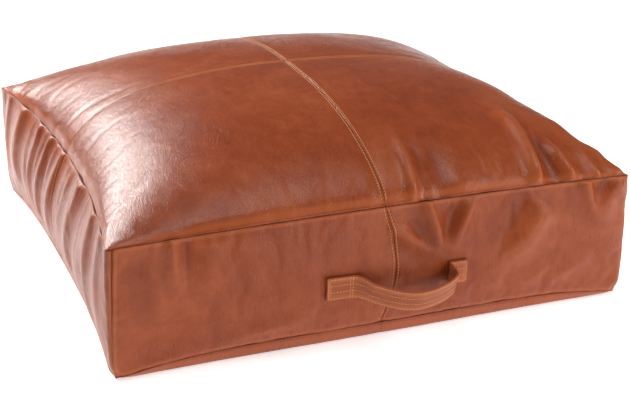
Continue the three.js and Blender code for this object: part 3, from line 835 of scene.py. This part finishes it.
# The fibre is one block: the outer faces of six sheets, welded into a closed skin.
parts = []
for face in FACES:
    part = inner_sheet(f"fibre_{face}", face, FIBRE_DEPTH)
    select_only(part)
    bpy.ops.object.mode_set(mode="EDIT")
    bpy.ops.mesh.select_mode(type="VERT")
    bpy.ops.mesh.select_all(action="DESELECT")
    bpy.ops.object.mode_set(mode="OBJECT")
    half_way = len(part.data.vertices) // 2
    part.data.vertices.foreach_set("select", [n >= half_way for n in range(2 * half_way)])
    bpy.ops.object.mode_set(mode="EDIT")
    bpy.ops.mesh.delete(type="VERT")
    bpy.ops.object.mode_set(mode="OBJECT")
    parts.append(part)
select_only(*parts)
bpy.ops.object.join()
filling = bpy.context.object
filling.name = filling.data.name = "fibre_block"
bpy.ops.object.mode_set(mode="EDIT")
bpy.ops.mesh.select_all(action="SELECT")
bpy.ops.mesh.remove_doubles(threshold=0.0004)
bpy.ops.mesh.normals_make_consistent(inside=False)
bpy.ops.object.mode_set(mode="OBJECT")
filling.data.materials.append(loose_fibre)
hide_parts("fibre_filling")
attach(filling, "cover")

# ---- Topstitching ----
# Waxed polyester thread in a golden tan, in two rows beside every pressed-open seam. Each stitch
# is a short stretch of thread that dips into the leather at both ends.

STITCH_PITCH = 0.0043
THREAD_RADIUS = 0.00062
STRAP_STITCH_PITCH = 0.0042
ROW_SAMPLES = 400
finish = Finish("waxed_thread")
place = finish.place()
twist = finish.node("ShaderNodeTexWave", {"bands_direction": "DIAGONAL"}, Vector=place, Scale=700.0,
                    Distortion=1.5)
soiling = finish.noise(place, 60, 3, 0.6)
colour = finish.mix(twist * 0.35 + soiling * 0.4, srgb(226, 160, 94), srgb(194, 116, 58))
waxed_thread = finish.set(Base_Color=colour, Roughness=0.45 + 0.2 * soiling,
                          Normal=finish.bump(twist, 0.3, 0.0002))

bpy.ops.object.select_all(action="DESELECT")
bpy.ops.mesh.primitive_cylinder_add(vertices=6, radius=1, depth=1, rotation=(0, math.pi / 2, 0))
stitch = bpy.context.object
stitch.name = "stitch"
bpy.ops.object.transform_apply(location=True, rotation=True, scale=True)
bpy.ops.object.mode_set(mode="EDIT")
for x in (-0.28, 0.28):
    bpy.ops.mesh.select_all(action="SELECT")
    bpy.ops.mesh.bisect(plane_co=(x, 0, 0), plane_no=(1, 0, 0))
bpy.ops.object.mode_set(mode="OBJECT")
STITCH_POINTS = places(stitch.data)
at_tips = abs(STITCH_POINTS[:, 0]) > 0.4
STITCH_POINTS[at_tips, 1:] *= 0.6
STITCH_POINTS[at_tips, 2] -= 1.3
STITCH_FACES = [list(face.vertices) for face in stitch.data.polygons]
bpy.data.objects.remove(stitch)


def stitches_along(path, outs, pitch=STITCH_PITCH, raised=0.0001):
    """Stitch places along a row of points: each one's points, laid end to end on the leather."""
    gone = np.concatenate([[0], np.cumsum(np.linalg.norm(np.diff(path, axis=0), axis=1))])
    count = max(1, round(gone[-1] / pitch))
    made = []
    for n in range(count):
        ends = [(n + 0.10) * gone[-1] / count, (n + 0.90) * gone[-1] / count]
        start, end = (np.array([np.interp(t, gone, path[:, axis]) for axis in range(3)]) for t in ends)
        out = np.array([np.interp(sum(ends) / 2, gone, outs[:, axis]) for axis in range(3)])
        along = end - start
        length = np.linalg.norm(along)
        along /= length
        out -= along * (out @ along)
        out /= np.linalg.norm(out)
        axes = np.stack([along * length, np.cross(out, along) * THREAD_RADIUS, out * THREAD_RADIUS])
        made.append((start + end) / 2 + out * raised + STITCH_POINTS @ axes)
    return made


def thread_piece(name, rows):
    every = [points for row in rows for points in row]
    faces = [[v + n * len(STITCH_POINTS) for v in face] for n in range(len(every)) for face in STITCH_FACES]
    mesh = bpy.data.meshes.new(name)
    mesh.from_pydata(np.concatenate(every).tolist(), [], faces)
    mesh.materials.append(waxed_thread)
    return placed(name, mesh)


def row_on(face, a_ends, b_ends, offset):
    """A row of stitches beside a seam; offset is to the side of increasing a, or else of b."""
    a, b = np.linspace(*a_ends, ROW_SAMPLES), np.linspace(*b_ends, ROW_SAMPLES)
    if a_ends[0] == a_ends[1]:
        a = a + middle_seam(face, b) + offset
    else:
        b = b + offset
    return stitches_along(*skin(face, a, b), raised=-0.0006 if face == "bottom" else 0.0001)


ROW_END = HALF - 0.004
for face in FACES:
    rows = []
    for offset in (-STITCH_OFFSET, STITCH_OFFSET):
        if face in ("top", "bottom"):
            for sign in (-1, 1):
                start = STITCH_OFFSET + 0.001 if face == "top" else 0.048
                rows.append(row_on(face, (0, 0), (sign * start, sign * ROW_END), offset))
                if face == "top":
                    rows.append(row_on(face, (sign * start, sign * ROW_END), (0, 0), offset))
        else:
            rows.append(row_on(face, (0, 0), (0.004, WALL_HEIGHT - 0.004), offset))
    piece = thread_piece(f"topstitching_{face}", rows)
    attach(piece, "cover")

# ---- Handle ----
# A strap of two layers of the same hide, folded and stitched together in four rows. Its ends lie
# on the front and are sewn through it in a box; between them it stands out in an arc.

left_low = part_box("handle_end_left")[0]
right_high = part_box("handle_end_right")[1]
STRAP_WIDTH = 0.032
STRAP_THICKNESS = 0.0032
STRAP_EDGE = 0.0011  # radius of its outer edges
STRAP_END_HEIGHTS = (0.086, 0.0815)  # of its middle line, at the left and the right end
STRAP_DROOP = math.radians(22)
DROOP_REACH = 0.015
STRAP_FLAT = 0.0021  # the strap's middle line where it lies on the front
PIVOT = Vector((0.016, 0.0, 0.084))
STRAP_ROWS = (-0.0136, -0.0046, 0.0046, 0.0136)
STRAP_CURVES = (
    ((-50, 2.1), (-42, 2.1), (-34, 12.5), (-22, 20.5)),
    ((-22, 20.5), (-8, 30), (8, 40.5), (28, 40.8)),
    ((28, 40.8), (48, 41), (89, 27), (88, 14)),
    ((88, 14), (87.5, 9), (81, 2.1), (88, 2.1)),
)


def front_y(x, z):
    s = np.clip(x / HALF, -1, 1)
    low_z = BOTTOM_SEAM + BOTTOM_SEAM_RISE * (1 - s ** 2)
    high_z = TOP_SEAM + FRONT_SEAM_LIFT * (1 - s * s)
    share = (z - low_z) / (high_z - low_z)
    return cushion_form(s, np.full_like(s, -1.0), share)[:, 1]


def strap_line(step=0.0018):
    """Points along the strap's middle line: x, and how far out from the front."""
    t = np.linspace(0, 1, 60)[:, None]
    line = [np.array([[left_low.x * 1000, STRAP_FLAT * 1000]])]
    for p0, p1, p2, p3 in STRAP_CURVES:
        p0, p1, p2, p3 = (np.array(p, float) for p in (p0, p1, p2, p3))
        line.append((1 - t) ** 3 * p0 + 3 * (1 - t) ** 2 * t * p1 + 3 * (1 - t) * t ** 2 * p2 + t ** 3 * p3)
    line.append(np.array([[right_high.x * 1000, STRAP_FLAT * 1000]]))
    line = np.concatenate(line) / 1000
    gone = np.concatenate([[0], np.cumsum(np.linalg.norm(np.diff(line, axis=0), axis=1))])
    even = np.linspace(0, gone[-1], round(gone[-1] / step))
    return np.stack([np.interp(even, gone, line[:, axis]) for axis in range(2)], -1), even


line, strap_run = strap_line()
tangent = np.gradient(line, axis=0)
tangent /= np.linalg.norm(tangent, axis=1, keepdims=True)
face_tilt = math.atan(float(np.diff(front_y(np.full(2, PIVOT.x), np.array([0.085, 0.083])))[0]) / 0.002)
reach = np.clip((line[:, 1] - STRAP_FLAT) / DROOP_REACH, 0, 1)
droop = face_tilt + (STRAP_DROOP - face_tilt) * reach * reach * (3 - 2 * reach)
zero = np.zeros_like(droop)
strap_out = np.stack([zero, -np.cos(droop), -np.sin(droop)], -1)
strap_up = np.stack([zero, -np.sin(droop), np.cos(droop)], -1)
height = np.interp(line[:, 0], (left_low.x, right_high.x), STRAP_END_HEIGHTS)
strap_middle = np.stack([line[:, 0], front_y(line[:, 0], height), height], -1) + strap_out * line[:, 1:]
strap_normal = strap_out * tangent[:, :1]
strap_normal[:, 0] -= tangent[:, 1]


def strap_face(t, from_end):
    """Height of the outer face above the middle line, at a place across and a distance to an end."""
    to_edge = np.minimum(STRAP_WIDTH / 2 - abs(t), from_end)
    height = STRAP_THICKNESS / 2 - rolled(np.maximum(to_edge, 0), STRAP_EDGE)
    for row in STRAP_ROWS:
        height = height - 0.00040 * np.exp(-(((t - row) / 0.0010) ** 2))
    return height


SECTION = np.concatenate([
    [0, 0.0002, 0.0005, 0.0009, 0.0013, 0.0018], np.arange(0.0024, 0.0296, 0.0007),
    [0.0302, 0.0307, 0.0311, 0.0315, 0.0318, 0.032]]) - STRAP_WIDTH / 2
to_end = np.minimum(strap_run, strap_run[-1] - strap_run)
t_grid = np.broadcast_to(SECTION, (len(line), len(SECTION)))
top_height = strap_face(t_grid, to_end[:, None])
back_height = -STRAP_THICKNESS / 2 + rolled(STRAP_WIDTH / 2 - abs(t_grid), 0.0007)


def strap_points(across, above):
    return (strap_middle[:, None] + strap_up[:, None] * across[..., None]
            + strap_normal[:, None] * above[..., None]).reshape(-1, 3)


outer, inner = strap_points(t_grid, top_height), strap_points(t_grid, back_height)
directions = np.repeat(strap_normal, len(SECTION), axis=0)
cut = np.stack([np.repeat(strap_run, len(SECTION)), t_grid.ravel()], -1)
edge_distance = np.minimum(STRAP_WIDTH / 2 - abs(t_grid), to_end[:, None]).ravel()
# Its fold and to_edge values feed the leather's painted marks: a painted highlight in a band just inside its
# rounded edges, and the mask for painted shade in hollows darkens its middle.
strap = sheet_mesh("handle_strap", outer, directions, t_grid.shape, 0.001, cut,
                   {"fold": STRAP_EDGE - edge_distance * 0.25, "to_edge": edge_distance + 0.0006,
                    "to_pressed": edge_distance * 0 + 1, "tone": edge_distance * 0})
co = places(strap.data)
co[len(outer):] = inner
move(strap.data, co)
# The strap's last tone colours its pores and the painted shade at its very edges.
strap_leather = hide("strap_leather", srgb(134, 58, 25), srgb(161, 78, 40), srgb(187, 107, 62),
                     srgb(96, 44, 22), 0.46, 0.10)
strap.data.materials.append(strap_leather)
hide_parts("handle_grip", "handle_end_left", "handle_end_right")
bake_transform(strap)


def strap_row(t, start, end):
    """A row of stitches along the strap, between two distances along it."""
    chosen = (strap_run >= start) & (strap_run <= end)
    across = np.full(chosen.sum(), t)
    above = strap_face(across, to_end[chosen])
    path = strap_middle[chosen] + strap_up[chosen] * t + strap_normal[chosen] * above[:, None]
    return stitches_along(path, strap_normal[chosen], pitch=STRAP_STITCH_PITCH)


def box_end(at):
    """The row of stitches across the strap that closes the box on a tab."""
    n = int(np.argmin(abs(strap_run - at)))
    across = np.linspace(STRAP_ROWS[0], STRAP_ROWS[-1], 20)
    above = strap_face(across, np.full(20, to_end[n]))
    path = strap_middle[n] + np.outer(across, strap_up[n]) + np.outer(above, strap_normal[n])
    return stitches_along(path, np.tile(strap_normal[n], (20, 1)), pitch=STRAP_STITCH_PITCH)


total = strap_run[-1]
left_box, right_box = (0.0024, 0.031), (total - 0.020, total - 0.0024)
rows = [strap_row(t, 0.0024, total - 0.0024) for t in STRAP_ROWS]
rows += [box_end(at) for at in (*left_box, left_box[1] + 0.0035, *right_box)]
handle_thread = thread_piece("handle_stitching", rows)
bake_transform(handle_thread)

# ---- Patches behind the handle ----
# Two squares of undyed split leather inside the front, one behind each end of the strap, so that
# the stitches don't tear through the cover when the pouf is lifted.

PATCH_DEPTH = 0.0026
PATCH_STEP = 0.003
PATCH_FOOT = 0.018  # height of the front wall's foot, from which b counts here
finish = Finish("split_leather")
place = finish.place()
nap = finish.noise(place, 420, 5, 0.7)
patches = finish.noise(place, 45, 4, 0.6)
colour = finish.mix(nap * 0.5 + patches * 0.5, srgb(120, 78, 52), srgb(166, 122, 88))
suede = finish.set(Base_Color=colour, Roughness=0.86 + 0.1 * nap, Normal=finish.bump(nap, 0.6, 0.0008))
for side in ("left", "right"):
    low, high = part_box(f"handle_patch_{side}")
    a_steps = panel_steps(low.x, high.x, PATCH_STEP)
    b_steps = panel_steps(low.z - PATCH_FOOT, high.z - PATCH_FOOT, PATCH_STEP)
    a, b = flat_grid(a_steps, b_steps)
    points, out = on_form("front", a, b)
    rim_of = np.minimum(np.minimum(a - low.x, high.x - a), np.minimum(b - b.min(), b.max() - b))
    points = points - out * (PATCH_DEPTH + 0.0004 * np.exp(-rim_of / 0.002))[:, None]
    patch = sheet_mesh(f"backing_patch_{side}", points, out, (len(a_steps), len(b_steps)), 0.0009,
                       np.stack([a, b], -1), {})
    patch.data.materials.append(suede)
    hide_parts(f"handle_patch_{side}")
    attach(patch, "cover")

# ---- Zip tapes ----
# Two woven polyester tapes lie along the inside of the leather lips under the pouf. They are sewn
# down beside the opening, and carry the row of teeth on their edges.

TAPE_STEPS = 240
TAPE_THICKNESS = 0.0006
tape_cloth = weave("tape_cloth", srgb(108, 62, 42), srgb(66, 34, 22), 1500, 0.85)
for side, sign in (("front", -1), ("back", 1)):
    low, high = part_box(f"zip_tape_{side}")
    near, far = 0.0026, high.y - MIDDLE_Y if sign > 0 else MIDDLE_Y - low.y
    across = np.concatenate([[near, 0.0032, 0.004], np.linspace(0.0055, far - 0.0008, 8), [far]])
    x, y = flat_grid(np.linspace(low.x, high.x, TAPE_STEPS), across)
    fall = (high.z - TAPE_THICKNESS - low.z) / (far - 0.004)
    ripple = 0.00012 * np.sin(x * 700) * np.clip((y - 0.006) / 0.006, 0, 1)
    z = high.z - fall * np.maximum(0, y - 0.004) + ripple
    points = np.stack([x, MIDDLE_Y + sign * y, z], -1)
    up = np.tile([0, 0, 1.0], (len(points), 1))
    tape = sheet_mesh(f"woven_tape_{side}", points, up, (TAPE_STEPS, len(across)), TAPE_THICKNESS,
                      np.stack([x, y], -1), {})
    tape.data.materials.append(tape_cloth)
    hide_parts(f"zip_tape_{side}")
    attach(tape, "cover")

# ---- Zip teeth ----
# Moulded nylon teeth, each with a neck and a rounded head, spaced so that those of one tape lock
# between those of the other.

TOOTH_PITCH = 0.0030
finish = Finish("dark_nylon")
place = finish.place()
flow = finish.noise(place, 300, 3, 0.6)
colour = finish.mix(flow, srgb(56, 30, 20), srgb(88, 52, 36))
dark_nylon = finish.set(Base_Color=colour, Roughness=0.38 + 0.2 * flow,
                        Normal=finish.bump(flow, 0.15, 0.0002))
for side, sign in (("front", -1), ("back", 1)):
    low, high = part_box(f"zip_teeth_{side}")
    inner_y, outer_y = (high.y, low.y) if sign < 0 else (low.y, high.y)
    middle_z = (low.z + high.z) / 2
    bpy.ops.object.select_all(action="DESELECT")
    bpy.ops.mesh.primitive_cube_add(size=1, location=(0, (inner_y + outer_y) / 2, middle_z),
                                    scale=(0.0013, abs(outer_y - inner_y), high.z - low.z))
    tooth = bpy.context.object
    tooth.name = f"teeth_{side}"
    bpy.ops.object.transform_apply(location=True, rotation=True, scale=True)
    bpy.ops.object.mode_set(mode="EDIT")
    bpy.ops.mesh.bisect(plane_co=(0, inner_y + sign * 0.0009, 0), plane_no=(0, 1, 0))
    bpy.ops.object.mode_set(mode="OBJECT")
    head = [abs(vertex.co.y - inner_y) < 0.0001 for vertex in tooth.data.vertices]
    co = places(tooth.data)
    co[head, 0] *= 1.55
    foot = abs(co[:, 1] - outer_y) < 0.0001
    co[foot, 0] *= 0.8
    move(tooth.data, co)
    bevel = tooth.modifiers.new("rounded", "BEVEL")
    bevel.width, bevel.segments = 0.00018, 1
    bpy.ops.object.modifier_apply(modifier="rounded")
    row = tooth.modifiers.new("row", "ARRAY")
    row.use_relative_offset, row.use_constant_offset = False, True
    row.constant_offset_displace = (TOOTH_PITCH, 0, 0)
    row.count = int((high.x - low.x - TOOTH_PITCH) / TOOTH_PITCH)
    bpy.ops.object.modifier_apply(modifier="row")
    start = low.x + 0.0011 + (TOOTH_PITCH / 2 if sign > 0 else 0)
    tooth.data.transform(Matrix.Translation((start, 0, 0)))
    tooth.data.materials.append(dark_nylon)
    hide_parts(f"zip_teeth_{side}")
    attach(tooth, "cover")

# ---- Zip slider, pull and stops ----
# Cast brass, tumbled until its edges are round and left to darken a little in its hollows.
finish = Finish("tumbled_brass")
place = finish.place()
tarnish = finish.noise(place, 260, 5, 0.65)
scratches = finish.noise(place, 1400, 4, 0.6)
colour = finish.mix(tarnish.clipped(0.35, 0.7), srgb(196, 158, 92), srgb(132, 98, 52))
tumbled_brass = finish.set(Base_Color=colour, Metallic=1.0, Roughness=0.28 + 0.25 * tarnish,
                           Normal=finish.bump(scratches, 0.12, 0.0001))
for node in ("zip_slider", "zip_pull", "zip_stop_left", "zip_stop_right"):
    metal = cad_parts[node]
    metal.data.materials.clear()
    metal.data.materials.append(tumbled_brass)
